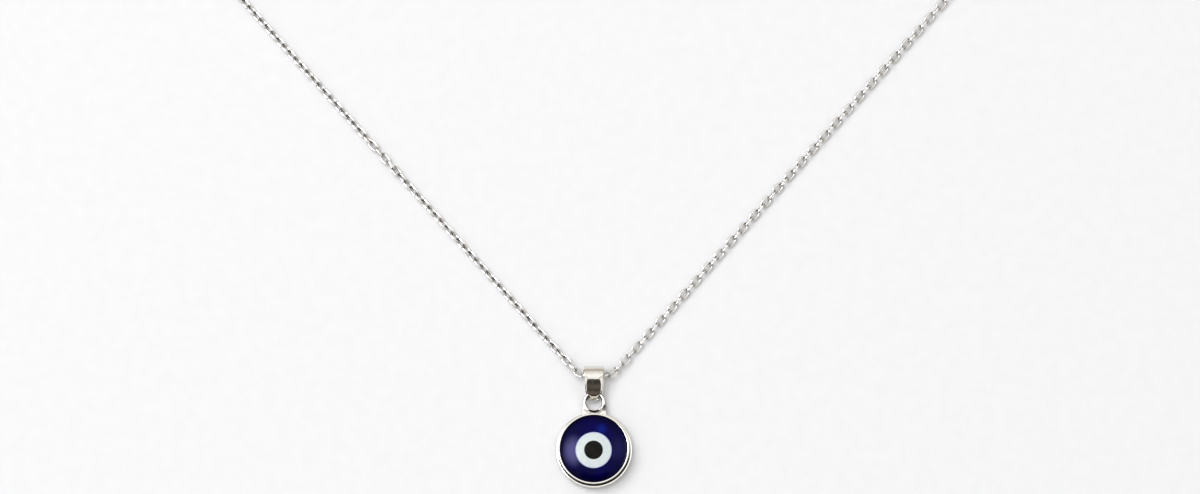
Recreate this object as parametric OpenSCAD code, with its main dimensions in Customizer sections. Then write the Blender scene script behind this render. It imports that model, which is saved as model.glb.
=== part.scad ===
// Evil eye pendant on a fine cable chain, closed by a barrel clasp and lying flat on a table.
// Origin: centre of the disc's flat back. +Z leaves the table, +Y runs from the disc to the bail.

/* [Glass eye] */
// Diameter of the glass disc
glass_d = 12.86; // [10:0.02:18]
// Height of the straight side of the glass
glass_edge_h = 1.75; // [1.5:0.05:4]
// Rise of the dome above the straight side
dome_rise = 1.4; // [0.8:0.05:2.2]
// Diameter of the white spot
white_d = 6.8; // [5:0.1:8]
// Depth of the white glass under the top of the dome
white_depth = 0.9; // [0.6:0.05:1.3]
// Diameter of the black pupil
pupil_d = 3.5; // [2:0.02:4]
// Depth of the black glass under the top of the dome
pupil_depth = 0.5; // [0.3:0.05:0.55]
// Distance from the disc's centre down to the middle of the eye
eye_drop = 0.36; // [0:0.02:0.6]

/* [Setting] */
// Thickness of the plate behind the glass
back_t = 0.9; // [0.6:0.05:1.5]
// Thickness of the wall round the glass
wall_t = 0.18; // [0.16:0.01:0.4]
// How far the flange at the foot stands out past the wall
flange_w = 0.52; // [0.2:0.02:0.8]
// Height of the flange's upper edge
flange_h = 1.35; // [1:0.05:2.2]
// How far the lip leans in over the edge of the glass
lip_hold = 0.1; // [0.08:0.01:0.3]
// Height of the rounded lip
lip_h = 0.55; // [0.4:0.01:0.8]
// How far the lip's bead stands out past the wall
bead_w = 0.05; // [0.03:0.01:0.15]

/* [Ear] */
// Diameter of the hole in the ear
ear_hole_d = 2.94; // [2.7:0.02:3.6]
// Width of the ring round the hole
ear_band = 0.73; // [0.6:0.01:1.6]
// Depth of the ear, from back to front
ear_depth = 1.3; // [1:0.05:1.8]
// How deep the ear's ring is let into the flange
ear_sink = 0.38; // [0.3:0.01:0.5]

/* [Bail] */
// Thickness of the bail's strap
strap_t = 0.45; // [0.3:0.01:0.6]
// Width of the bail at its top
bail_top_w = 3.8; // [3:0.1:5]
// Distance from the middle of the lower bend to the middle of the upper bend
bail_run = 3.45; // [3:0.05:6]
// Free room round a link in the upper bend
bail_room = 1.3; // [0.8:0.05:2]

/* [Chain] */
// Length of the necklace with its clasp, as it is sold
chain_length = 406; // [390:1:410]
// Length of a link over its ends
link_l = 2.6; // [2.5:0.02:2.8]
// Width of a link
link_w = 1.6; // [1.5:0.05:1.8]
// Thickness of the link's wire
wire_d = 0.38; // [0.36:0.01:0.42]
// Slope of the chain's arms beside the bail
arm_angle = 48.5; // [40:0.25:60]
// How far the chain lies to the right of the pendant's middle
chain_shift = 0.3; // [-0.6:0.05:0.6]

/* [Clasp] */
// Diameter of the barrel
barrel_d = 2; // [1.9:0.05:3]
// Length of the barrel
barrel_l = 7.8; // [6:0.1:10]
// Thickness of the wire of the barrel's two eyes
clasp_wire_d = 0.4; // [0.3:0.02:0.45]
// Inner diameter of the barrel's two eyes
clasp_eye_d = 0.9; // [0.8:0.05:1.2]

/* [Hidden] */
$fn = 64;

// Gaps between pieces that touch on the real pendant
glass_gap = 0.05;
fuse_gap = 0.03;
bail_gap = 0.15;
throat_gap = 0.12;
ear_slack = 0.03;
link_play = 0.16;
table_gap = 0.02;
chain_seat = 0.21;

// Heights and radii of the setting and the glass that it holds
glass_r = glass_d / 2;
glass_z = back_t + glass_gap;
edge_z = glass_z + glass_edge_h;
dome_z = edge_z + dome_rise;
dome_r = (glass_r * glass_r + dome_rise * dome_rise) / (2 * dome_rise);
cavity_r = glass_r + glass_gap;
wall_r = cavity_r + wall_t;
flange_r = wall_r + flange_w;
lip_z = edge_z + 2 * glass_gap;
lip_r = glass_r + glass_gap - lip_hold;
rim_z = lip_z + lip_h - glass_gap;

// Ear, soldered to the foot of the setting in front of the bail's back leaf
ear_hole_r = ear_hole_d / 2;
ear_r = ear_hole_r + ear_band;
ear_y = flange_r + ear_r - ear_sink;
ear_z = strap_t + bail_gap;

// Bail: lower bend round the ear, upper bend round the chain
low_in_r = ear_depth / 2 + bail_gap;
low_r = low_in_r + strap_t;
top_in_r = (link_w + bail_room) / 2;
top_r = top_in_r + strap_t;
low_y = ear_y + ear_hole_r + ear_slack;
top_y = low_y + bail_run;
throat_rise = low_y - ear_y - sqrt(low_in_r * low_in_r - ear_depth * ear_depth / 4);
throat_w = 2 * (sqrt(ear_hole_r * ear_hole_r - throat_rise * throat_rise) - throat_gap);

// Outline of the bail above its throat: share of the height, share of the added width
BAIL_OUTLINE = [
    [0.00, 0.00],
    [0.03, 0.00],
    [0.06, 0.20],
    [0.09, 0.42],
    [0.14, 0.60],
    [0.21, 0.71],
    [0.32, 0.76],
    [0.55, 0.82],
    [1.00, 1.00]
];

// Chain: links on a path whose right half starts in the bail and ends in the middle of the clasp
wire_r = wire_d / 2;
side_r = link_w / 2 - wire_r;
pitch = link_l - 2 * wire_d - link_play;
eye_wire_r = clasp_wire_d / 2;
clasp_eye_r = clasp_eye_d / 2 + eye_wire_r;
clasp_reach = link_l / 2 - wire_d - link_play - eye_wire_r + 2 * clasp_eye_r;
clasp_half = barrel_l / 2 + clasp_reach;
links_per_arm = floor((chain_length / 2 - clasp_half) / pitch);
half_run = links_per_arm * pitch + clasp_half;

// Lay of the chain: its bend in the bail, its outer corners and the heading where the top arc starts
chain_y = top_y - chain_seat;
bend_r = 5.8;
corner_r = 22;
top_heading = 150;

function arc(radius, turn) = radius * turn * PI / 180;

bend_len = arc(bend_r, arm_angle);
corner_len = arc(corner_r, top_heading - arm_angle);
// The straight arm and the wide top arc close the loop at the middle of the clasp
side_reach = clasp_half - corner_r * (sin(top_heading) - sin(arm_angle)) - bend_r * sin(arm_angle);
free_run = half_run - bend_len - corner_len - clasp_half;
top_arc_r = (free_run - side_reach / cos(arm_angle))
    / (sin(top_heading) / cos(arm_angle) + (180 - top_heading) * PI / 180);
arm_len = (top_arc_r * sin(top_heading) + side_reach) / cos(arm_angle);

// Legs of the path's right half: length, turn in degrees
LEGS = [
    [bend_len, arm_angle],
    [arm_len, 0],
    [corner_len, top_heading - arm_angle],
    [arc(top_arc_r, 180 - top_heading), 180 - top_heading],
    [clasp_half, 0]
];

// Roll of every other link, from lying flat at 0 to standing at 90: share of the half loop, roll
last_stands = links_per_arm % 2 == 0;
ROLL_RIGHT = [[0, 0], [0.03, 4], [0.06, 14], [0.3, 18], [0.45, 12], [0.9, 15], [1, last_stands ? 90 : 0]];
ROLL_LEFT = [[0, 0], [0.03, 20], [0.06, 43], [0.25, 46], [0.29, 90], [0.33, 134], [0.9, 136],
             [1, last_stands ? 90 : 180]];

function leg_point(p, leg, l) =
    let (end = p[2] + leg[1] * l / leg[0], r = leg[1] == 0 ? 0 : leg[0] / (leg[1] * PI / 180))
    leg[1] == 0
        ? [p[0] + l * cos(end), p[1] + l * sin(end), end]
        : [p[0] + r * (sin(end) - sin(p[2])), p[1] + r * (cos(p[2]) - cos(end)), end];

// Place and heading at a distance along the right half, leg after leg
function path_point(s, p = [0, chain_y, 0], i = 0) =
    i == len(LEGS) - 1 || s <= LEGS[i][0]
        ? leg_point(p, LEGS[i], s)
        : path_point(s - LEGS[i][0], leg_point(p, LEGS[i], LEGS[i][0]), i + 1);

function ease(t) = let (c = min(max(t, 0), 1)) c * c * (3 - 2 * c);
function blend(a, b, t) = a + (b - a) * ease(t);
function roll_at(s) = lookup(abs(s) / half_run, s < 0 ? ROLL_LEFT : ROLL_RIGHT);

// Height of the chain's middle: on the table, raised over the bail's back leaf and to the clasp's eyes
bail_link_z = strap_t + link_play + link_w / 2;
bail_level = 3.5;
bail_ramp = 6.5;
clasp_ramp = 8;
function lying_z(s) = table_gap + wire_r + side_r * max(abs(sin(roll_at(s))), abs(cos(roll_at(s))));
function chain_z(s) =
    let (near_bail = blend(bail_link_z, lying_z(s), (abs(s) - bail_level) / bail_ramp))
    blend(near_bail, barrel_d / 2, 1 - (half_run - clasp_half - abs(s)) / clasp_ramp);
function slope_at(s) = atan((chain_z(s + pitch / 2) - chain_z(s - pitch / 2)) / pitch);

// Round tray, hollow for the glass: chamfered foot, flange, wall, and a bead that leans in as the lip
module setting() {
    foot_in = 1.2;
    foot_h = 0.45 * flange_h;
    flange_t = 0.4;
    soft = 0.05;
    round = 0.15;
    color("silver") {
        rotate_extrude()
            polygon([
                [0, 0],
                [flange_r - foot_in, 0],
                [flange_r - 2 * soft, foot_h],
                [flange_r, flange_h - flange_t],
                [flange_r - soft, flange_h - round],
                [flange_r - round - soft, flange_h],
                [wall_r + soft, flange_h + soft],
                [wall_r, lip_z - round],
                [wall_r + bead_w, lip_z + round],
                [wall_r + bead_w - soft, rim_z - round],
                [wall_r - 2 * soft, rim_z],
                [lip_r + round, rim_z],
                [lip_r, rim_z - round],
                [lip_r, lip_z],
                [cavity_r, lip_z],
                [cavity_r, back_t],
                [0, back_t]
            ]);
        ear();
    }
}

// Ring of half-round section, wide at the back and narrow at the front, on a foot that spreads to the wall
module ear() {
    soft = 0.08;
    foot_t = 0.75 * ear_depth;
    foot_spread = 0.15;
    difference() {
        translate([0, ear_y, ear_z]) {
            rotate_extrude()
                polygon([
                    [ear_hole_r, 0],
                    [ear_r - soft, 0],
                    [ear_r, 0.15 * ear_depth],
                    [ear_r - 0.1 * ear_band, 0.5 * ear_depth],
                    [ear_r - 0.2 * ear_band, 0.8 * ear_depth],
                    [ear_r - 0.35 * ear_band, ear_depth],
                    [ear_hole_r + 0.35 * ear_band, ear_depth],
                    [ear_hole_r + 0.1 * ear_band, 0.85 * ear_depth],
                    [ear_hole_r, 0.6 * ear_depth]
                ]);
            linear_extrude(height = foot_t)
                difference() {
                    polygon([
                        [-ear_r, 0],
                        [-ear_r - foot_spread, wall_r - ear_y],
                        [0, cavity_r - ear_y],
                        [ear_r + foot_spread, wall_r - ear_y],
                        [ear_r, 0]
                    ]);
                    circle(r = ear_hole_r + soft);
                }
        }
        cylinder(r = cavity_r + wall_t / 2, h = rim_z);
    }
}

// Ball whose cap is the common dome of the three glasses
module dome() {
    translate([0, 0, dome_z - dome_r]) sphere(r = dome_r, $fn = 240);
}

module glass_blue() {
    color("midnightblue")
        difference() {
            intersection() {
                translate([0, 0, glass_z]) cylinder(r = glass_r, h = dome_z - glass_z + 1);
                dome();
            }
            translate([0, -eye_drop, dome_z - white_depth - fuse_gap])
                cylinder(d = white_d + 2 * fuse_gap, h = white_depth + 1);
        }
}

module glass_white() {
    color("aliceblue")
        difference() {
            intersection() {
                translate([0, -eye_drop, dome_z - white_depth]) cylinder(d = white_d, h = white_depth + 1);
                dome();
            }
            translate([0, -eye_drop, dome_z - pupil_depth - fuse_gap])
                cylinder(d = pupil_d + 2 * fuse_gap, h = pupil_depth + 1);
        }
}

module glass_pupil() {
    color("black")
        intersection() {
            translate([0, -eye_drop, dome_z - pupil_depth]) cylinder(d = pupil_d, h = pupil_depth + 1);
            dome();
        }
}

// Solid teardrop along X: two bends and the flat leaves tangent to both
module teardrop(low, top, width) {
    lift = top_r - low_r;
    lean = atan(lift / bail_run);
    fan = acos(lift / sqrt(bail_run * bail_run + lift * lift));
    low_c = [low_y, low_r];
    top_c = [top_y, top_r];
    back = [cos(180 + lean + fan), sin(180 + lean + fan)];
    front = [cos(180 + lean - fan), sin(180 + lean - fan)];
    rotate([90, 0, 90]) {
        translate(low_c) cylinder(r = low, h = width, center = true);
        translate(top_c) cylinder(r = top, h = width, center = true);
        linear_extrude(height = width, center = true)
            polygon([
                low_c,
                low_c + low * front,
                top_c + top * front,
                top_c,
                top_c + top * back,
                low_c + low * back
            ]);
    }
}

// The bail's outline from the front: a narrow throat through the ear, shoulders, then a taper
module bail_outline() {
    foot_y = low_y - low_r - 1;
    throat_y = ear_y + throat_rise;
    height = top_y + top_r - throat_y;
    right = [for (row = BAIL_OUTLINE)
        [(throat_w + (bail_top_w - throat_w) * row[1]) / 2, throat_y + height * row[0]]];
    left = [for (i = [len(right) - 1:-1:0]) [-right[i][0], right[i][1]]];
    polygon(concat([[throat_w / 2, foot_y]], right, left, [[-throat_w / 2, foot_y]]));
}

module bail() {
    color("gainsboro")
        intersection() {
            difference() {
                teardrop(low_r, top_r, bail_top_w + 1);
                teardrop(low_in_r, top_in_r, bail_top_w + 2);
            }
            translate([0, 0, -1]) linear_extrude(height = 2 * top_r + 2) bail_outline();
        }
}

module link() {
    for (turn = [0, 180]) {
        rotate(turn) {
            translate([link_l / 2 - link_w / 2, 0, 0])
                rotate(-90)
                    rotate_extrude(angle = 180, $fn = 24)
                        translate([side_r, 0]) circle(d = wire_d, $fn = 14);
            translate([link_w / 2 - link_l / 2, side_r, 0])
                rotate([0, 90, 0])
                    cylinder(d = wire_d, h = link_l - link_w, $fn = 14);
        }
    }
}

module chain() {
    color("silver")
        for (i = [-links_per_arm:links_per_arm]) {
            s = i * pitch;
            side = s < 0 ? -1 : 1;
            p = path_point(abs(s));
            translate([chain_shift + side * p[0], p[1], chain_z(s)])
                rotate([0, -slope_at(s), side * p[2]])
                    rotate([roll_at(s) + 90 * (abs(i) % 2), 0, 0])
                        link();
        }
}

// Barrel with a raised band in the middle and an eye at each end
module clasp() {
    barrel_r = barrel_d / 2;
    half = barrel_l / 2;
    body_r = 0.92 * barrel_r;
    tip_r = 0.45 * barrel_r;
    band = 0.4;
    step = 0.1;
    color("silver")
        translate([chain_shift, path_point(half_run)[1], barrel_r]) {
            rotate([0, 90, 0])
                rotate_extrude()
                    polygon([
                        [0, -half],
                        [tip_r, -half],
                        [0.8 * barrel_r, 0.3 * barrel_r - half],
                        [body_r, barrel_r - half],
                        [body_r, -band / 2 - step],
                        [barrel_r, -band / 2],
                        [barrel_r, band / 2],
                        [body_r, band / 2 + step],
                        [body_r, half - barrel_r],
                        [0.8 * barrel_r, half - 0.3 * barrel_r],
                        [tip_r, half],
                        [0, half]
                    ]);
            for (side = [-1, 1])
                translate([side * (half + clasp_eye_r), 0, 0])
                    rotate_extrude()
                        translate([clasp_eye_r, 0]) circle(r = eye_wire_r);
        }
}

setting();
glass_blue();
glass_white();
glass_pupil();
bail();
chain();
clasp();
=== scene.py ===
"""Evil eye pendant on a fine cable chain, laid flat on a white table under soft window light.

Lengths are in millimetres until a mesh is made. The frame is the pendant's own: its origin is the centre of
the disc's flat back on the table, +Y runs to the bail and +Z leaves the table through the glass.
"""
import math

import bmesh
import bpy
import numpy as np
from mathutils import Matrix, Vector


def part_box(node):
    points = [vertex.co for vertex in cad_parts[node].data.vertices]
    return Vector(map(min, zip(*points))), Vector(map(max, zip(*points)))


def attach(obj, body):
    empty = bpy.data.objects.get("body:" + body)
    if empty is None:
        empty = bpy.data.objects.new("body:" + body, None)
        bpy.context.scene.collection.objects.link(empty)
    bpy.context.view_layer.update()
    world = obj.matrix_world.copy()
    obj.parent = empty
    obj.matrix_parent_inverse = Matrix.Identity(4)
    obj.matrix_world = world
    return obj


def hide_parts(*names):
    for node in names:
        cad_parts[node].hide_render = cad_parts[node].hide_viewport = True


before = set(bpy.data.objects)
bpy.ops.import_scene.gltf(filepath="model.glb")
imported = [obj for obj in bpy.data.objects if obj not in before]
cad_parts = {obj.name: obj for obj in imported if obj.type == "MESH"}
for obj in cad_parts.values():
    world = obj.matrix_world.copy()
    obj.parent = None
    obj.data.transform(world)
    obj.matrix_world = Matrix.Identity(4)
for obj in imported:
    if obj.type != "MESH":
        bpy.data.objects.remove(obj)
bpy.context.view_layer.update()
MM = 0.001


def cad_box(name):
    """Lowest and highest corner of a solid of the frame, in millimetres."""
    low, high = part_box(name)
    return np.array(low) / MM, np.array(high) / MM


# Sizes that the frame's boxes give
SETTING_HIGH = cad_box("setting")[1]
GLASS_LOW, GLASS_HIGH = cad_box("glass_blue")
WHITE_LOW, WHITE_HIGH = cad_box("glass_white")
PUPIL_LOW, PUPIL_HIGH = cad_box("glass_pupil")
BAIL_LOW, BAIL_HIGH = cad_box("bail")
CLASP_LOW, CLASP_HIGH = cad_box("clasp")
FLANGE_R = SETTING_HIGH[0]
RIM_Z = SETTING_HIGH[2]
GLASS_R = GLASS_HIGH[0]
GLASS_Z = GLASS_LOW[2]
DOME_Z = PUPIL_HIGH[2]
WHITE_R = WHITE_HIGH[0]
PUPIL_R = PUPIL_HIGH[0]
EYE_Y = (PUPIL_LOW[1] + PUPIL_HIGH[1]) / 2

# Setting: clearances round the glass, wall, flange, lip and ear
GLASS_GAP = 0.05
FUSE_GAP = 0.012
WALL_T = 0.18
FLANGE_H = 1.35
LIP_HOLD = 0.1
LIP_H = 0.5
DOME_RISE = 1.4
EAR_HOLE_R = 1.47
EAR_BAND = 0.73
EAR_DEPTH = 1.3
EAR_R = EAR_HOLE_R + EAR_BAND
EAR_Y = SETTING_HIGH[1] - EAR_R

# Bail: its strap, its widths and its distance from the ear
STRAP_T = 0.45
BAIL_GAP = 0.15
THROAT_W = 1.85
SHOULDER_W = 3.28
SHOULDER_RUN = 1.15

# Chain: its links and how it lies
CHAIN_LENGTH = 406
LINK_L = 2.6
LINK_W = 1.6
WIRE_R = 0.19
LINK_PLAY = 0.16
CHAIN_X = (CLASP_LOW[0] + CLASP_HIGH[0]) / 2
CLASP_HALF_L = (CLASP_HIGH[0] - CLASP_LOW[0]) / 2
ARM_ANGLE = math.radians(48.5)
TOP_HEADING = math.radians(150)
BEND_R = 5.8
CORNER_R = 22
CHAIN_SEAT = 0.21
TABLE_GAP = 0.02
BAIL_LEVEL = 3.5
BAIL_RAMP = 6.5
CLASP_RAMP = 8

# Clasp: the wire and the middle radius of its two eyes
EYE_WIRE_R = 0.2
EYE_RING_R = 0.65


# Meshes

def grid_mesh(name, grids, sharp_deg):
    """One mesh from grids of points.

    Each entry is (points, closed along rows, closed along columns), and its points have the shape (rows,
    columns, 3) or (copies, rows, columns, 3). Point (i, j) makes a face with (i + 1, j), (i + 1, j + 1) and
    (i, j + 1). Points that coincide, as at a pole, are welded, and the faces are turned outwards.
    """
    points, quads, first = [], [], 0
    for grid, wrap_rows, wrap_columns in grids:
        rows, columns = grid.shape[-3:-1]
        copies = grid.size // (3 * rows * columns)
        start = first + rows * columns * np.arange(copies)[:, None, None, None]
        i = np.arange(rows if wrap_rows else rows - 1)[:, None]
        j = np.arange(columns if wrap_columns else columns - 1)[None, :]
        down, right = (i + 1) % rows, (j + 1) % columns
        corners = [i * columns + j, down * columns + j, down * columns + right, i * columns + right]
        quads.append((np.stack(np.broadcast_arrays(*corners), -1)[None] + start).reshape(-1, 4))
        points.append(grid.reshape(-1, 3))
        first += copies * rows * columns
    points = np.concatenate(points) * MM
    quads = np.concatenate(quads)
    mesh = bpy.data.meshes.new(name)
    mesh.vertices.add(len(points))
    mesh.vertices.foreach_set("co", points.ravel())
    mesh.loops.add(quads.size)
    mesh.loops.foreach_set("vertex_index", quads.ravel())
    mesh.polygons.add(len(quads))
    mesh.polygons.foreach_set("loop_start", np.arange(0, quads.size, 4))
    mesh.update(calc_edges=True)
    piece = bpy.data.objects.new(name, mesh)
    bpy.context.scene.collection.objects.link(piece)
    tidy_mesh(mesh, sharp_deg)
    return piece


def tidy_mesh(mesh, sharp_deg, weld=1e-4):
    """Welds points closer than the weld, in millimetres, turns faces outwards and shades the mesh smooth."""
    work = bmesh.new()
    work.from_mesh(mesh)
    bmesh.ops.remove_doubles(work, verts=work.verts, dist=weld * MM)
    bmesh.ops.recalc_face_normals(work, faces=work.faces)
    work.to_mesh(mesh)
    work.free()
    mesh.shade_smooth()
    mesh.set_sharp_from_angle(angle=math.radians(sharp_deg))


def solder(piece, other, sharp_deg):
    """Fuses two closed pieces into one surface, and drops the second."""
    step = piece.modifiers.new("solder", "BOOLEAN")
    step.operation = "UNION"
    step.solver = "EXACT"
    step.object = other
    graph = bpy.context.evaluated_depsgraph_get()
    fused = bpy.data.meshes.new_from_object(piece.evaluated_get(graph))
    piece.modifiers.clear()
    piece.data = fused
    bpy.data.objects.remove(other)
    tidy_mesh(fused, sharp_deg)
    return piece


def soften(corners, radius, steps):
    """A polyline with rounded corners: near a corner P it follows (1-t)^2 A + 2t(1-t) P + t^2 B.

    A and B lie on the two sides at the radius from P, or at half a side where that is shorter.
    """
    p = np.asarray(corners, float)
    inner = p[1:-1]
    before, after = p[:-2] - inner, p[2:] - inner
    size_before = np.linalg.norm(before, axis=1, keepdims=True)
    size_after = np.linalg.norm(after, axis=1, keepdims=True)
    reach = np.minimum(radius, 0.5 * np.minimum(size_before, size_after))
    a = (inner + before / size_before * reach)[:, None]
    b = (inner + after / size_after * reach)[:, None]
    t = np.linspace(0, 1, steps)[None, :, None]
    curve = (1 - t) ** 2 * a + 2 * t * (1 - t) * inner[:, None] + t ** 2 * b
    return np.concatenate([p[:1], curve.reshape(-1, 2), p[-1:]])


def turned(profile, sides, centre_y=0.0):
    """Surface of revolution: each profile point (r, z) goes round a vertical axis at (0, centre_y)."""
    angle = np.linspace(0, 2 * math.pi, sides, endpoint=False)[None, :]
    r, z = profile[:, :1], profile[:, 1:]
    x, y = r * np.cos(angle), np.reshape(centre_y, (-1, 1)) + r * np.sin(angle)
    return np.stack([x, y, np.broadcast_to(z, x.shape)], -1)


def walk(legs, start, s):
    """Points and headings at the distances s along a path of straight legs and arcs.

    A leg is (length, turn). On a leg of curvature k the point after l is the leg's start plus l sinc(k l / 2)
    in the direction heading + k l / 2, and the heading grows by k l.
    """
    length, turn = np.array(legs, float).T
    curvature = turn / length
    begin = np.cumsum(length) - length
    heading = start[2] + np.cumsum(turn) - turn

    def chord(l, k, h):
        reach = l * np.sinc(k * l / 2 / math.pi)
        return np.stack([reach * np.cos(h + k * l / 2), reach * np.sin(h + k * l / 2)], -1)

    steps = chord(length, curvature, heading)
    corner = np.array(start[:2]) + np.cumsum(steps, axis=0) - steps
    i = np.clip(np.searchsorted(begin, s, side="right") - 1, 0, len(legs) - 1)
    l, k = s - begin[i], curvature[i]
    return corner[i] + chord(l, k, heading[i]), heading[i] + k * l


def ease(t):
    """Smooth step from 0 to 1: 3t^2 - 2t^3."""
    t = np.clip(t, 0, 1)
    return t * t * (3 - 2 * t)


# Materials

def linear(hex_colour):
    """Linear RGBA of an sRGB hex colour."""
    srgb = np.array([int(hex_colour[i:i + 2], 16) for i in (1, 3, 5)]) / 255
    rgb = np.where(srgb <= 0.04045, srgb / 12.92, ((srgb + 0.055) / 1.055) ** 2.4)
    return (*rgb.tolist(), 1.0)


def node(tree, kind, inputs=(), stops=(), **settings):
    """Adds a node with its settings.

    Its inputs are given by socket name or number, each as a value, a hex colour, a socket or a node, whose
    first output in use is then linked. The stops are a colour ramp's (place, hex colour) pairs.
    """
    made = tree.nodes.new(kind)
    for key, value in settings.items():
        setattr(made, key, value)
    for key, value in dict(inputs).items():
        if isinstance(value, bpy.types.Node):
            value = next(output for output in value.outputs if output.enabled)
        if isinstance(value, bpy.types.NodeSocket):
            tree.links.new(value, made.inputs[key])
        else:
            made.inputs[key].default_value = linear(value) if isinstance(value, str) else value
    for i, (position, colour) in enumerate(stops):
        if i >= len(made.color_ramp.elements):
            made.color_ramp.elements.new(1.0)
        made.color_ramp.elements[i].position = position
        made.color_ramp.elements[i].color = linear(colour)
    return made


def fades(start, end, low=0.0, high=1.0):
    """Inputs of a Map Range node that goes smoothly from low to high as its value goes from start to end."""
    return {"From Min": start, "From Max": end, "To Min": low, "To Max": high}


def round_about(centre_mm, radius_mm):
    """Inputs of a Mapping node that puts a vertical axis at the origin and makes the radius 1."""
    scale = 1 / (radius_mm * MM)
    return {"Location": (-centre_mm[0] / radius_mm, -centre_mm[1] / radius_mm, 0), "Scale": (scale, scale, 0)}


def material_of(name, paint):
    """A material whose nodes paint() lays down: it gets the tree and the Object coordinates, in metres."""
    material = bpy.data.materials.new(name)
    material.use_nodes = True
    tree = material.node_tree
    tree.nodes.clear()
    place = node(tree, "ShaderNodeTexCoord").outputs["Object"]
    shader = node(tree, "ShaderNodeBsdfPrincipled", paint(tree, place))
    node(tree, "ShaderNodeOutputMaterial", {"Surface": shader})
    return material


def rhodium_plate(name, roughness, ripple_mm, ripple_h, painted_shade=None):
    """Rhodium plate over cast and tumbled metal: a bright mirror, a little warmer than white.

    Tumbling leaves a shallow ripple that bends what the plate mirrors, and wear leaves a haze of hairlines
    that lifts the roughness in patches. The optional shade function gives the share of painted shade: a dull
    grey-brown dark laid in crevices and along edges where shade falls.
    """
    def paint(tree, place):
        haze = node(tree, "ShaderNodeTexNoise", {"Vector": place, "Scale": 1 / (1.7 * MM), "Detail": 4.0})
        ripple = node(tree, "ShaderNodeTexNoise", {"Vector": place, "Scale": 1 / (ripple_mm * MM)})
        tone = node(tree, "ShaderNodeValToRGB", {"Fac": haze}, [(0.35, "#e6e3dc"), (0.7, "#dedbd5")])
        gloss = node(tree, "ShaderNodeMapRange", {
            "Value": haze, **fades(0.35, 0.7, roughness, 1.9 * roughness)}, interpolation_type="SMOOTHSTEP")
        bump = node(tree, "ShaderNodeBump", {"Height": ripple, "Distance": ripple_h * MM})
        # Painted shade: a dull dark brown, rougher, mixed in by the share of painted shade
        if painted_shade:
            share = painted_shade(tree, place)
            tone = node(tree, "ShaderNodeMix", {0: share, 6: tone, 7: "#0f0c0a"}, data_type="RGBA")
            gloss = node(tree, "ShaderNodeMix", {0: share, 2: gloss, 3: 0.4})
        return {"Base Color": tone, "Metallic": 1.0, "Roughness": gloss, "Normal": bump}
    return material_of(name, paint)


def film_in_groove(tree, place):
    """Painted shade in the groove round the wall, fuller on its lower side, and in the ear.

    In the ear the painted shade lies in the seam under the ring, along the upper inner edge of the hole, in
    the pit where the ring meets its foot on the right, and thinner round the outer edge as a dark outline.
    """
    def ring(centre, inner, outer, edge):
        """A round band between two radii, in millimetres, that fades over the edge on both sides."""
        away = node(tree, "ShaderNodeVectorMath", {
            0: node(tree, "ShaderNodeMapping", {"Vector": place, **round_about(centre, 1.0)})},
            operation="LENGTH")
        enters = node(tree, "ShaderNodeMapRange", {"Value": away, **fades(inner - edge, inner)})
        leaves = node(tree, "ShaderNodeMapRange", {"Value": away, **fades(outer, outer + edge, 1.0, 0.0)})
        return node(tree, "ShaderNodeMath", {0: enters, 1: leaves}, operation="MULTIPLY")

    y = node(tree, "ShaderNodeSeparateXYZ", {"Vector": place}).outputs["Y"]
    wall_r = GLASS_R + GLASS_GAP + WALL_T
    ear = (0, EAR_Y)
    # Each patch, the two heights in Y between which its share of painted shade changes, and the shares at
    # these
    patches = [
        (ring((0, 0), wall_r + 0.03, wall_r + 0.2, 0.03), 2, -2, 0.35, 1.0),
        (ring(ear, EAR_HOLE_R + 0.14, EAR_HOLE_R + 0.44, 0.05), EAR_Y - 1.4, EAR_Y - 1.55, 0.0, 1.0),
        (ring(ear, EAR_HOLE_R - 0.05, EAR_HOLE_R + 0.1, 0.08), EAR_Y - 0.1, EAR_Y + 0.5, 0.0, 1.0),
        (ring((2.0, EAR_Y - 0.8), 0.0, 0.26, 0.1), 0, EAR_Y, 0.0, 1.0),
        (ring((1.9, EAR_Y - 1.3), 0.0, 0.3, 0.1), 0, EAR_Y, 0.0, 1.0),
        (ring(ear, EAR_R - 0.07, EAR_R + 0.1, 0.03), 0, EAR_Y, 0.6, 0.6)]
    share = 0.0
    for patch, start_y, end_y, least, most in patches:
        limit = node(tree, "ShaderNodeMapRange", {"Value": y, **fades(start_y * MM, end_y * MM, least, most)})
        patch = node(tree, "ShaderNodeMath", {0: patch, 1: limit}, operation="MULTIPLY")
        share = node(tree, "ShaderNodeMath", {0: patch, 1: share}, operation="MAXIMUM")
    return share


def film_in_links(tree, place):
    """Painted shade on the inner side and the ends of every link, from the share that the mesh carries."""
    return node(tree, "ShaderNodeAttribute", attribute_name="painted_shade").outputs["Fac"]


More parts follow.
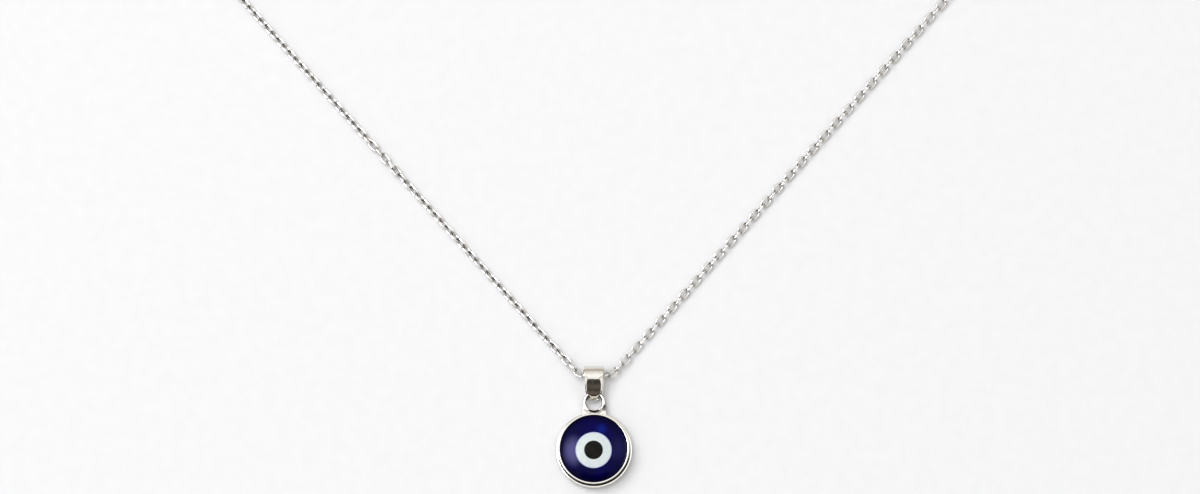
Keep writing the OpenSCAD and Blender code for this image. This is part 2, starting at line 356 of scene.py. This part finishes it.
def cobalt_glass(tree, place):
    """Torch-melted cobalt glass: a deep ultramarine body under a fire-polished skin.

    The body is painted lighter in its upper half and darker at the foot, as the light falls, and painted
    shade darkens it to navy towards the lip. It carries slow streaks from gathering, about 3 mm wide. One
    spot beside the white is a painted highlight.
    """
    rim = node(tree, "ShaderNodeVectorMath", {
        0: node(tree, "ShaderNodeMapping", {"Vector": place, **round_about((0, 0), GLASS_R)})},
        operation="LENGTH")
    highlight_away = node(tree, "ShaderNodeVectorMath", {
        0: node(tree, "ShaderNodeMapping", {"Vector": place, **round_about((1.45, 3.65), 1.5)})},
        operation="LENGTH")
    # Painted light: the body is lighter towards the top of the eye and darker at its foot
    height = node(tree, "ShaderNodeMapRange", {
        "Value": node(tree, "ShaderNodeSeparateXYZ", {"Vector": place}).outputs["Y"],
        **fades(-5 * MM, 4 * MM)}, interpolation_type="SMOOTHSTEP")
    body = node(tree, "ShaderNodeValToRGB", {"Fac": height}, [
        (0.0, "#00002a"), (0.45, "#030036"), (1.0, "#060334")])
    swirl = node(tree, "ShaderNodeTexNoise", {
        "Vector": place, "Scale": 1 / (3 * MM), "Detail": 3.0, "Distortion": 1.2})
    streaks = node(tree, "ShaderNodeValToRGB", {"Fac": swirl}, [(0.35, "#0a0626"), (0.65, "#05025e")])
    melt = node(tree, "ShaderNodeMix", {0: 0.3, 6: body, 7: streaks}, data_type="RGBA")
    # Painted highlight: a brighter blue spot beside the white
    highlight_share = node(tree, "ShaderNodeMapRange", {"Value": highlight_away, **fades(1.0, 0.0, 0.0, 0.8)},
                interpolation_type="SMOOTHSTEP")
    with_painted_highlight = node(tree, "ShaderNodeMix", {0: highlight_share, 6: melt, 7: "#081c74"}, data_type="RGBA")
    # Painted shade: the glass darkens towards the lip
    edge = node(tree, "ShaderNodeMapRange", {"Value": rim, **fades(0.74, 0.98, 0.0, 0.8)},
                interpolation_type="SMOOTHSTEP")
    with_painted_rim_shade = node(tree, "ShaderNodeMix", {0: edge, 6: with_painted_highlight, 7: "#010014"}, data_type="RGBA")
    return {"Base Color": with_painted_rim_shade, "Roughness": 0.09, "IOR": 1.52, "Specular IOR Level": 0.085,
            "Specular Tint": "#c8c6ff"}


def opal_glass(tree, place):
    """Opaque white glass: cool white with faint clouds, cyan at the pupil and bluish where cobalt bled in."""
    share = node(tree, "ShaderNodeVectorMath", {
        0: node(tree, "ShaderNodeMapping", {"Vector": place, **round_about((0, EYE_Y), WHITE_R)})},
        operation="LENGTH")
    cloud = node(tree, "ShaderNodeTexNoise", {"Vector": place, "Scale": 1 / (1.2 * MM), "Detail": 3.0})
    clouds = node(tree, "ShaderNodeValToRGB", {"Fac": cloud}, [(0.3, "#bac4c6"), (0.7, "#d6dada")])
    tint = node(tree, "ShaderNodeValToRGB", {"Fac": share}, [
        (0.48, "#a8c4c4"), (0.58, "#cad2d3"), (0.93, "#c8cfd4"), (1.0, "#7a86c8")])
    return {"Base Color": node(tree, "ShaderNodeMix", {0: 0.35, 6: tint, 7: clouds}, data_type="RGBA"),
            "Roughness": 0.1, "IOR": 1.5, "Specular IOR Level": 0.04}


def black_glass(tree, place):
    """Black glass: a brown-black body with a faint lighter bloom under its skin."""
    smoke = node(tree, "ShaderNodeTexNoise", {"Vector": place, "Scale": 1 / (0.9 * MM), "Detail": 4.0})
    bloom = node(tree, "ShaderNodeValToRGB", {"Fac": smoke}, [(0.35, "#0b0a09"), (0.7, "#191816")])
    return {"Base Color": bloom, "Roughness": 0.12, "IOR": 1.5, "Specular IOR Level": 0.08}


# The setting

def setting():
    """The tray, turned from its softened profile, with the ear's ring and foot soldered to it.

    The profile goes from the back over the flange to the wall, and then over the lip into the cavity.
    """
    cavity_r = GLASS_R + GLASS_GAP
    wall_r = cavity_r + WALL_T
    lip_z = RIM_Z - LIP_H
    lip_r = cavity_r - LIP_HOLD
    floor_z = GLASS_Z - GLASS_GAP
    back_r, belly_z, edge_z, edge = FLANGE_R - 1.2, 0.6, 0.95, 0.1
    groove_z, bead_r = lip_z - 0.2, wall_r + 0.05
    flank = soften([
        (0, 0), (back_r, 0), (FLANGE_R - edge, belly_z), (FLANGE_R, edge_z), (FLANGE_R, FLANGE_H - edge),
        (FLANGE_R - edge, FLANGE_H), (wall_r + 0.02, FLANGE_H + 0.02), (wall_r, groove_z)], 0.07, 5)
    lip = soften([
        (wall_r, groove_z), (wall_r, lip_z - 0.1), (bead_r, lip_z + 0.05), (bead_r, RIM_Z - 0.08),
        (wall_r, RIM_Z), (lip_r + 0.04, RIM_Z), (lip_r, RIM_Z - 0.06), (lip_r, lip_z), (cavity_r, lip_z),
        (cavity_r, floor_z), (0, floor_z)], 0.05, 5)
    profile = np.concatenate([flank, lip[1:]])
    tray = grid_mesh("setting", [(turned(profile, 192), False, True)], 60)
    low, high = STRAP_T + BAIL_GAP, STRAP_T + BAIL_GAP + EAR_DEPTH
    section = soften([
        (EAR_HOLE_R, low + 0.1), (EAR_HOLE_R, low), (EAR_HOLE_R + 0.4, low), (EAR_R, low), (EAR_R, low + 0.4),
        (EAR_R - 0.06, low + 0.65), (EAR_R - 0.14, high - 0.26), (EAR_R - 0.25, high),
        (EAR_HOLE_R + 0.25, high), (EAR_HOLE_R + 0.06, high - 0.2), (EAR_HOLE_R, high - 0.5),
        (EAR_HOLE_R, low + 0.1)], 0.12, 5)[:-1]
    ring = grid_mesh("ring", [(turned(section, 144, EAR_Y), True, True)], 60)
    foot = grid_mesh("foot", [(ear_foot(low, low + 0.75 * EAR_DEPTH, wall_r - WALL_T / 2), False, True)], 40)
    return solder(tray, solder(ring, foot, 50), 50)


def ear_foot(low, high, wall_r):
    """The foot between the ring and the round wall, bevelled along its outer edge.

    It is a fan round the ear's middle. At the angle a below the horizontal its reach is the nearer of a
    spreading side, r cos(a) = w + k r sin(a), and the wall, r = y sin(a) - sqrt(wall_r^2 - y^2 cos(a)^2).
    """
    inner_r, side_w, spread, bevel = EAR_HOLE_R + 0.5 * EAR_BAND, EAR_R - 0.1, 0.1, 0.12
    angle = np.linspace(0, math.pi, 61)[:, None]
    c, s = np.abs(np.cos(angle)), np.sin(angle)
    side = np.where(c > spread * s, side_w / np.maximum(c - spread * s, 1e-6), np.inf)
    room = wall_r ** 2 - (EAR_Y * c) ** 2
    wall = np.where(room > 0, EAR_Y * s - np.sqrt(np.maximum(room, 0)), np.inf)
    reach = np.minimum(side, wall)
    r = np.concatenate([0 * reach + inner_r, reach, reach, reach - bevel, 0 * reach + inner_r], 1)
    z = np.array([low, low, high - bevel, high, high]) + 0 * r
    fan = np.stack([r * np.cos(angle), EAR_Y - r * np.sin(angle), z], -1)
    ends = fan[[0, -1]].mean(axis=1, keepdims=True) + 0 * fan[[0, -1]]
    return np.concatenate([ends[:1], fan, ends[1:]])


# The glass eye

def glass_layer(name, rings):
    """A closed body from a stack of circles (centre y, radius, height).

    A height of None lays the circle on the dome, the sphere that the three glasses share: with R its radius
    and Z its apex, z = Z - R + sqrt(R^2 - x^2 - y^2).
    """
    dome_r = (GLASS_R ** 2 + DOME_RISE ** 2) / (2 * DOME_RISE)
    centre_y, radius = np.array([ring[:2] for ring in rings], float).T
    on_dome = np.array([ring[2] is None for ring in rings])[:, None]
    level = np.array([ring[2] or 0.0 for ring in rings])
    grid = turned(np.stack([radius, level], -1), 160, centre_y)
    dome = DOME_Z - dome_r + np.sqrt(dome_r ** 2 - grid[..., 0] ** 2 - grid[..., 1] ** 2)
    grid[..., 2] = np.where(on_dome, dome, grid[..., 2])
    return grid_mesh(name, [(grid, False, True)], 50)


def dome_rings(inner, outer, count):
    """Circles on the dome from one (centre y, radius) to another, in equal steps of both."""
    t = np.linspace(0, 1, count)[:, None]
    between_them = (1 - t) * np.array(inner) + t * np.array(outer)
    return [(centre_y, radius, None) for centre_y, radius in between_them.tolist()]


def glass_blue():
    """The blue body, with a round pocket for the white glass."""
    pocket_r, floor_z = WHITE_R + FUSE_GAP, WHITE_LOW[2] - FUSE_GAP
    return glass_layer("glass_blue", [
        (EYE_Y, 0, floor_z), (EYE_Y, pocket_r, floor_z),
        *dome_rings((EYE_Y, pocket_r), (0, GLASS_R), 28),
        (0, GLASS_R, GLASS_Z + 0.1), (0, GLASS_R - 0.1, GLASS_Z), (0, 0, GLASS_Z)])


def glass_white():
    """The white spot, with a round pocket for the pupil."""
    pocket_r, floor_z = PUPIL_R + FUSE_GAP, PUPIL_LOW[2] - FUSE_GAP
    return glass_layer("glass_white", [
        (EYE_Y, 0, floor_z), (EYE_Y, pocket_r, floor_z),
        *dome_rings((EYE_Y, pocket_r), (EYE_Y, WHITE_R), 14),
        (EYE_Y, WHITE_R, WHITE_LOW[2]), (EYE_Y, 0, WHITE_LOW[2])])


def glass_pupil():
    """The black pupil."""
    return glass_layer("glass_pupil", [
        *dome_rings((EYE_Y, 0), (EYE_Y, PUPIL_R), 12),
        (EYE_Y, PUPIL_R, PUPIL_LOW[2]), (EYE_Y, 0, PUPIL_LOW[2])])


# The bail

def bail():
    """A bevelled strap carried round a teardrop path in the plane of Y and Z.

    The path is the back leaf, the upper bend, the sloping front leaf, which bows by a few degrees, and the
    lower bend. The strap's width is the throat's, plus a quarter ellipse over the shoulders, plus a straight
    taper.
    """
    half_t = STRAP_T / 2
    low_r = EAR_DEPTH / 2 + BAIL_GAP + half_t
    top_r = BAIL_HIGH[2] / 2 - half_t
    low_y = BAIL_LOW[1] + low_r + half_t
    top_y = BAIL_HIGH[1] - top_r - half_t
    leaf = top_y - low_y
    slope = 2 * math.atan((top_r - low_r) / leaf)
    bow, ease_in, ease_len = math.radians(2.4), math.radians(5), 0.37
    top_turn, low_turn = math.pi + slope - bow / 2 - ease_in, math.pi - slope - bow / 2
    legs = [(leaf, 0), (top_r * top_turn, top_turn), (ease_len, ease_in), (leaf - ease_len / 2, bow),
            (low_r * low_turn, low_turn)]
    s = np.linspace(0, sum(length for length, turn in legs), 320, endpoint=False)
    point, heading = walk(legs, (low_y, half_t, 0.0), s)
    y, z = point.T[:, :, None]

    throat_drop = 0.3
    throat_y = low_y - throat_drop
    shoulder_y = throat_y + SHOULDER_RUN
    up = np.clip((y - throat_y) / SHOULDER_RUN, 0, 1)
    taper = np.clip((y - shoulder_y) / (BAIL_HIGH[1] - shoulder_y), 0, 1)
    shoulders = (SHOULDER_W - THROAT_W) * np.sqrt(1 - (1 - up) ** 2)
    width = THROAT_W + shoulders + (2 * BAIL_HIGH[0] - SHOULDER_W) * taper

    # Right half of the section: distance from the strap's edge, height over its middle. Its plain form has
    # small edges all round, and its cut form a broad bevel on the face, which is widest at the panel's top.
    edge, core = 0.05, 0.6
    bevel_w, bevel_h = 0.3, 0.14
    plain = soften([(-core, half_t), (-edge, half_t), (0, half_t - edge), (0, edge - half_t),
                    (-edge, -half_t), (-core, -half_t)], edge, 6)
    cut = soften([(-core, half_t), (-bevel_w, half_t), (0, half_t - bevel_h), (0, edge - half_t),
                  (-edge, -half_t), (-core, -half_t)], edge, 6)
    face = legs[0][0] + legs[1][0]
    share = (s[:, None] - face) / (legs[2][0] + legs[3][0])
    bevelled = ease((share + 0.14) / 0.2) * ease((1.25 - share) / 0.2)
    barrel = 1 + 1.4 * np.clip(1 - share / 0.4, 0, 1) ** 1.5
    sign = np.repeat([1, -1], len(plain))
    plain, cut = (np.concatenate([half, half[::-1]]).T for half in (plain, cut))
    inset = plain[0] + bevelled * (np.where(plain[0] < -core / 2, 1, barrel) * cut[0] - plain[0])
    lift = plain[1] + bevelled * (cut[1] - plain[1])
    x = sign * (width / 2 + inset)
    out_y, out_z = np.sin(heading)[:, None], -np.cos(heading)[:, None]
    grid = np.stack([x, y + lift * out_y, z + lift * out_z], -1)
    return grid_mesh("bail", [(grid, True, True)], 30)


# The chain

def chain_route():
    """Legs of the chain's right half, from the bail to the middle of the clasp, and its other measures.

    The legs are a bend in the bail, a straight arm, an outer corner, a wide top arc and half the clasp. The
    arm's length and the top arc's radius follow from the half loop's length and from its closing at x = 0.
    """
    pitch = LINK_L - 4 * WIRE_R - LINK_PLAY
    clasp_half = CLASP_HALF_L + LINK_L / 2 - 2 * WIRE_R - LINK_PLAY - 2 * EYE_WIRE_R
    links = int((CHAIN_LENGTH / 2 - clasp_half) // pitch)
    half_run = links * pitch + clasp_half
    corner, last = TOP_HEADING - ARM_ANGLE, math.pi - TOP_HEADING
    side = (clasp_half - CORNER_R * (math.sin(TOP_HEADING) - math.sin(ARM_ANGLE))
            - BEND_R * math.sin(ARM_ANGLE))
    free = half_run - BEND_R * ARM_ANGLE - CORNER_R * corner - clasp_half
    top_r = ((free - side / math.cos(ARM_ANGLE))
             / (math.sin(TOP_HEADING) / math.cos(ARM_ANGLE) + last))
    arm = (top_r * math.sin(TOP_HEADING) + side) / math.cos(ARM_ANGLE)
    legs = [(BEND_R * ARM_ANGLE, ARM_ANGLE), (arm, 0), (CORNER_R * corner, corner), (top_r * last, last),
            (clasp_half, 0)]
    return legs, half_run, clasp_half, pitch, links


def link_grid(end_steps, sides):
    """One link: a round wire, drawn with a few sides of the same mean width, carried round a racetrack.

    Also gives each point's share of painted shade, which lies on the inner side and is fuller in the ends,
    where the links meet and shade falls.
    """
    bend = np.linspace(-math.pi / 2, math.pi / 2, end_steps)
    u = np.concatenate([bend, bend + math.pi])[:, None]
    v = (np.arange(sides)[None, :] + 0.5) * 2 * math.pi / sides
    shift = np.repeat([1, -1], end_steps)[:, None] * (LINK_L - LINK_W) / 2
    wire_r = WIRE_R * 2 / (1 + math.cos(math.pi / sides))
    reach = LINK_W / 2 - WIRE_R + wire_r * np.cos(v)
    points = np.stack([shift + reach * np.cos(u), reach * np.sin(u), wire_r * np.sin(v) + 0 * u], -1)
    end = np.abs(np.cos(u))
    return points, ease((1.1 * end - 0.1 - np.cos(v)) / 0.6) * (0.3 + 0.7 * end)


def chain():
    """Every link in one mesh.

    Link i lies at i times the pitch on the route. Its axes are the route's direction with its slope, and
    two more that are rolled about it. Every other link is rolled by a quarter turn more. The roll of each
    arm is given in degrees by the share of the half loop, from the bail to the clasp.
    """
    legs, half_run, clasp_half, pitch, links = chain_route()
    i = np.arange(-links, links + 1)
    s = i * pitch
    side = np.where(s < 0, -1, 1)
    end = (90, 90) if links % 2 == 0 else (0, 180)
    right = np.array([(0, 0), (0.03, 4), (0.06, 14), (0.3, 18), (0.45, 12), (0.9, 15), (1, end[0])])
    left = np.array([(0, 0), (0.03, 20), (0.06, 43), (0.25, 46), (0.29, 90), (0.33, 134), (0.9, 136),
                     (1, end[1])])

    def roll(s):
        share = np.abs(s) / half_run
        return np.radians(np.where(s < 0, np.interp(share, *left.T), np.interp(share, *right.T)))

    def height(s):
        upright = np.maximum(np.abs(np.sin(roll(s))), np.abs(np.cos(roll(s))))
        lying = TABLE_GAP + WIRE_R + (LINK_W / 2 - WIRE_R) * upright
        in_bail = STRAP_T + LINK_PLAY + LINK_W / 2
        low = in_bail + (lying - in_bail) * ease((np.abs(s) - BAIL_LEVEL) / BAIL_RAMP)
        at_clasp = ease(1 - (half_run - clasp_half - np.abs(s)) / CLASP_RAMP)
        return low + (CLASP_HIGH[2] / 2 - low) * at_clasp

    start_y = BAIL_HIGH[1] - BAIL_HIGH[2] / 2 - CHAIN_SEAT
    point, heading = walk(legs, (0.0, start_y, 0.0), np.abs(s))
    heading = heading * side
    centre = np.stack([CHAIN_X + point[:, 0] * side, point[:, 1], height(s)], -1)
    slope = np.arctan((height(s + pitch / 2) - height(s - pitch / 2)) / pitch)
    turn = (roll(s) + math.pi / 2 * (np.abs(i) % 2))[:, None]
    along = np.stack([np.cos(heading) * np.cos(slope), np.sin(heading) * np.cos(slope), np.sin(slope)], -1)
    level = np.stack([-np.sin(heading), np.cos(heading), 0 * heading], -1)
    across = level * np.cos(turn) + np.cross(along, level) * np.sin(turn)
    axes = np.stack([along, across, np.cross(along, across)], 1)
    link, painted_shade = link_grid(5, 8)
    grid = centre[:, None, None] + np.einsum("uvk,nkc->nuvc", link, axes)
    made = grid_mesh("chain", [(grid, True, True)], 80)
    # Painted shade: each point's share of it goes on the mesh as an attribute
    made.data.attributes.new("painted_shade", "FLOAT", "POINT").data.foreach_set(
        "value", np.tile(painted_shade.ravel(), len(s)).astype(np.float32))
    return made


# The clasp

def clasp():
    """A barrel with a narrow raised band, turned about its length, with a wire eye soldered to each end."""
    barrel_r = CLASP_HIGH[2] / 2
    half = CLASP_HALF_L - EYE_WIRE_R - 2 * EYE_RING_R
    body_r, shoulder_r, tip_r = 0.92 * barrel_r, 0.8 * barrel_r, 0.45 * barrel_r
    band, step = 0.4, 0.1
    centre = np.array([CHAIN_X, (CLASP_LOW[1] + CLASP_HIGH[1]) / 2, barrel_r])
    end = [(0, -half), (tip_r, -half), (shoulder_r, 0.3 * barrel_r - half), (body_r, barrel_r - half),
           (body_r, -band / 2 - step), (barrel_r, -band / 2)]
    profile = soften(end + [(r, -x) for r, x in reversed(end)], 0.2, 6)
    barrel = grid_mesh("clasp", [(turned(profile, 64)[..., [2, 0, 1]] + centre, False, True)], 50)
    v = np.linspace(0, 2 * math.pi, 14, endpoint=False)
    wire = np.stack([EYE_RING_R + EYE_WIRE_R * np.cos(v), EYE_WIRE_R * np.sin(v)], -1)
    for side in (-1, 1):
        ring = turned(wire, 48) + centre + (side * (half + EYE_RING_R), 0, 0)
        barrel = solder(barrel, grid_mesh("eye", [(ring, True, True)], 60), 50)
    return barrel


# Each piece with its finish and the record's slot for it

PIECES = (
    (setting, rhodium_plate("rhodium_plate_setting", 0.03, 0.9, 0.003, film_in_groove), "setting_metal"),
    (glass_blue, material_of("cobalt_glass", cobalt_glass), "blue_glass"),
    (glass_white, material_of("opal_glass", opal_glass), "white_glass"),
    (glass_pupil, material_of("black_glass", black_glass), "black_glass"),
    (bail, rhodium_plate("rhodium_plate_bail", 0.03, 0.45, 0.003), "bail_metal"),
    (chain, rhodium_plate("rhodium_plate_chain", 0.06, 0.5, 0.002, film_in_links), "chain_metal"),
    (clasp, rhodium_plate("rhodium_plate_clasp", 0.08, 0.9, 0.003), "clasp_metal"))

for make, material, slot in PIECES:
    made = make()
    made.data.materials.clear()
    made.data.materials.append(material)
    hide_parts(make.__name__)
    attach(made, "root")


# Table, light and camera

def staged(made, shade):
    """Marks a stage piece and gives it a material: shade() lays down the nodes and returns the last one."""
    material = bpy.data.materials.new(made.name)
    material.use_nodes = True
    tree = material.node_tree
    tree.nodes.clear()
    node(tree, "ShaderNodeOutputMaterial", {"Surface": shade(tree)})
    made.data.materials.append(material)
    return made


def flat_mesh(name, corners, shade):
    """A stage piece of one face."""
    mesh = bpy.data.meshes.new(name)
    mesh.from_pydata(corners, [], [tuple(range(len(corners)))])
    made = bpy.data.objects.new(name, mesh)
    bpy.context.scene.collection.objects.link(made)
    return staged(made, shade)


def white_board(tree):
    """Matt white board with a faint grain."""
    place = node(tree, "ShaderNodeTexCoord").outputs["Object"]
    grain = node(tree, "ShaderNodeTexNoise", {"Vector": place, "Scale": 1 / (2.5 * MM)})
    tone = node(tree, "ShaderNodeValToRGB", {"Fac": grain}, [(0.35, "#dadadb"), (0.65, "#dcdcdd")])
    return node(tree, "ShaderNodeBsdfPrincipled", {"Base Color": tone, "Roughness": 0.85})


def seen_from_pendant(from_vertical_deg, bearing_deg, distance):
    """A point at a distance in metres, by its angle from the vertical and its bearing from +X."""
    a, b = math.radians(from_vertical_deg), math.radians(bearing_deg)
    return Vector((math.sin(a) * math.cos(b), math.sin(a) * math.sin(b), math.cos(a))) * distance


def facing(centre, size):
    """Corners of a rectangle at a place, turned to the pendant."""
    x, y = size[0] / 2, size[1] / 2
    turn = centre.to_track_quat("Z", "Y")
    return [tuple(turn @ Vector(c) + centre) for c in ((-x, -y, 0), (x, -y, 0), (x, y, 0), (-x, y, 0))]


def only_in_polish(made):
    """Hides a stage piece from all but reflections."""
    made.visible_camera = False
    made.visible_diffuse = False
    made.visible_transmission = False
    made.visible_shadow = False


def glow(name, centre, size, colour, strength):
    """An oval card that shows only in the polish, full in the middle and clear at its edges."""
    def shade(tree):
        place = node(tree, "ShaderNodeTexCoord").outputs["Generated"]
        away = node(tree, "ShaderNodeVectorMath", {0: node(tree, "ShaderNodeMapping", {
            "Vector": place, "Location": (-1, -1, 0), "Scale": (2, 2, 0)})}, operation="LENGTH")
        full = node(tree, "ShaderNodeMapRange", {"Value": away, **fades(1.0, 0.15, 0.0, strength)},
                    interpolation_type="SMOOTHSTEP")
        light = node(tree, "ShaderNodeEmission", {"Color": colour, "Strength": full})
        return node(tree, "ShaderNodeAddShader", {0: node(tree, "ShaderNodeBsdfTransparent"), 1: light})
    only_in_polish(flat_mesh(name, facing(centre, size), shade))


def polished_room():
    """What the polish mirrors: a half globe, 1.5 m in radius, that only reflections see.

    It is white overhead, grey towards the back, dark low down at the sides, and has a dark gap in front
    between the overhead white and a pale screen.
    """
    def shade(tree):
        place = node(tree, "ShaderNodeTexCoord").outputs["Object"]
        level = node(tree, "ShaderNodeVectorMath", {0: place, 1: (1, 1, 0)}, operation="MULTIPLY")
        bearing = node(tree, "ShaderNodeSeparateXYZ", {
            "Vector": node(tree, "ShaderNodeVectorMath", {0: level}, operation="NORMALIZE")}).outputs
        up = node(tree, "ShaderNodeSeparateXYZ", {
            "Vector": node(tree, "ShaderNodeVectorMath", {0: place}, operation="NORMALIZE")}).outputs["Z"]
        back = node(tree, "ShaderNodeValToRGB", {"Fac": up}, [
            (0.0, "#dcd8d2"), (0.12, "#d2cdc6"), (0.28, "#b4ada5"), (0.57, "#b9b3ab"), (0.72, "#dad6d1"),
            (0.945, "#edebe8"), (0.985, "#ffffff")])
        front = node(tree, "ShaderNodeValToRGB", {"Fac": up}, [
            (0.1, "#6b655f"), (0.2, "#c8c2bb"), (0.772, "#d4cfc9"), (0.783, "#1c1a18"), (0.805, "#1c1a18"),
            (0.812, "#6e6258"), (0.82, "#34312d"), (0.832, "#5a554f"), (0.843, "#2a2724"), (0.854, "#544f4a"),
            (0.862, "#2f2c29"), (0.866, "#ecebe9"), (0.95, "#ffffff")])
        side = node(tree, "ShaderNodeValToRGB", {"Fac": up}, [
            (0.0, "#3e3934"), (0.4, "#3e3934"), (0.48, "#eeecea"), (0.86, "#f4f4f3"), (0.95, "#ffffff")])
        backwards = node(tree, "ShaderNodeMapRange", {"Value": bearing["Y"], **fades(-0.3, 0.3)})
        sideways = node(tree, "ShaderNodeMapRange", {
            "Value": node(tree, "ShaderNodeMath", {0: bearing["X"]}, operation="ABSOLUTE"),
            **fades(0.48, 0.68)})
        ends = node(tree, "ShaderNodeMix", {0: backwards, 6: front, 7: back}, data_type="RGBA")
        tone = node(tree, "ShaderNodeMix", {0: sideways, 6: ends, 7: side}, data_type="RGBA")
        return node(tree, "ShaderNodeEmission", {"Color": tone, "Strength": 1.25})
    angle = np.linspace(0, math.pi / 2, 17)
    globe = turned(1500 * np.stack([np.sin(angle), np.cos(angle)], -1), 48)
    only_in_polish(staged(grid_mesh("polished_room", [(globe, False, True)], 180), shade))


def white_room():
    """The room that lights the table: white overhead, lighter at its two sides than at its front and back."""
    world = bpy.data.worlds.new("white_room")
    world.use_nodes = True
    tree = world.node_tree
    tree.nodes.clear()
    direction = node(tree, "ShaderNodeSeparateXYZ", {
        "Vector": node(tree, "ShaderNodeTexCoord").outputs["Generated"]})
    x, z = direction.outputs["X"], direction.outputs["Z"]
    ends = node(tree, "ShaderNodeValToRGB", {"Fac": z}, [
        (0.0, "#5c5a58"), (0.5, "#8a8885"), (0.8, "#e8e8e7"), (1.0, "#fdfeff")])
    sides = node(tree, "ShaderNodeValToRGB", {"Fac": z}, [
        (0.0, "#8f8d8b"), (0.45, "#bcbbb9"), (0.75, "#fafafa"), (1.0, "#fdfeff")])
    sideways = node(tree, "ShaderNodeMapRange", {
        "Value": node(tree, "ShaderNodeMath", {0: x}, operation="ABSOLUTE"), **fades(0.25, 0.75)},
        interpolation_type="SMOOTHSTEP")
    tone = node(tree, "ShaderNodeMix", {0: sideways, 6: ends, 7: sides}, data_type="RGBA")
    light = node(tree, "ShaderNodeBackground", {"Color": tone, "Strength": 1.215})
    node(tree, "ShaderNodeOutputWorld", {"Surface": light})
    bpy.context.scene.world = world


def window(name, centre, size, power):
    """A soft window of light that faces the pendant. It lights but doesn't show in the polish."""
    lamp = bpy.data.lights.new(name, "AREA")
    lamp.shape = "RECTANGLE"
    lamp.size, lamp.size_y = size
    lamp.energy = power
    made = bpy.data.objects.new(name, lamp)
    made.location = centre
    made.rotation_euler = centre.to_track_quat("Z", "Y").to_euler()
    made.visible_glossy = False
    bpy.context.scene.collection.objects.link(made)


def photo_camera():
    """A long lens over the table, turned so that the disc's foot falls where the photograph has it."""
    frame_w, frame_h = 1200, 494
    disc_px, disc_py = 594.4, 450.8
    px_per_mm = 5.307
    focal_px = 6667
    camera = bpy.data.cameras.new("camera")
    camera.sensor_width = 36
    camera.lens = focal_px / frame_w * camera.sensor_width
    made = bpy.data.objects.new("camera", camera)
    bpy.context.scene.collection.objects.link(made)
    outward = Vector((0.04, -0.133, 0.99)).normalized()
    right = Vector((0, 1, 0)).cross(outward).normalized()
    look = Matrix((right, outward.cross(right), outward)).transposed().to_quaternion()
    ray = Vector(((disc_px - frame_w / 2) / focal_px, (frame_h / 2 - disc_py) / focal_px, -1))
    made.location = outward * focal_px / px_per_mm * MM
    made.rotation_mode = "QUATERNION"
    made.rotation_quaternion = look @ ray.rotation_difference(Vector((0, 0, -1)))
    bpy.context.scene.camera = made


half_table = 1.0
flat_mesh("table", [(-half_table, -half_table, 0), (half_table, -half_table, 0),
                    (half_table, half_table, 0), (-half_table, half_table, 0)], white_board)
white_room()
polished_room()
window("window_key", seen_from_pendant(29, 134, 2.0), (1.15, 1.15), 21.5)
glow("window_glow", seen_from_pendant(32, 172, 1.0), (0.9, 0.55), "#f1f0ff", 26)
glow("window_faint", seen_from_pendant(33, 12, 1.0), (0.75, 0.55), "#f1f0ff", 2.2)
glow("camera_spot", seen_from_pendant(7.9, -73, 1.0), (0.2, 0.2), "#2c2a28", 1.0)
photo_camera()
bpy.context.scene.view_settings.view_transform = "Standard"
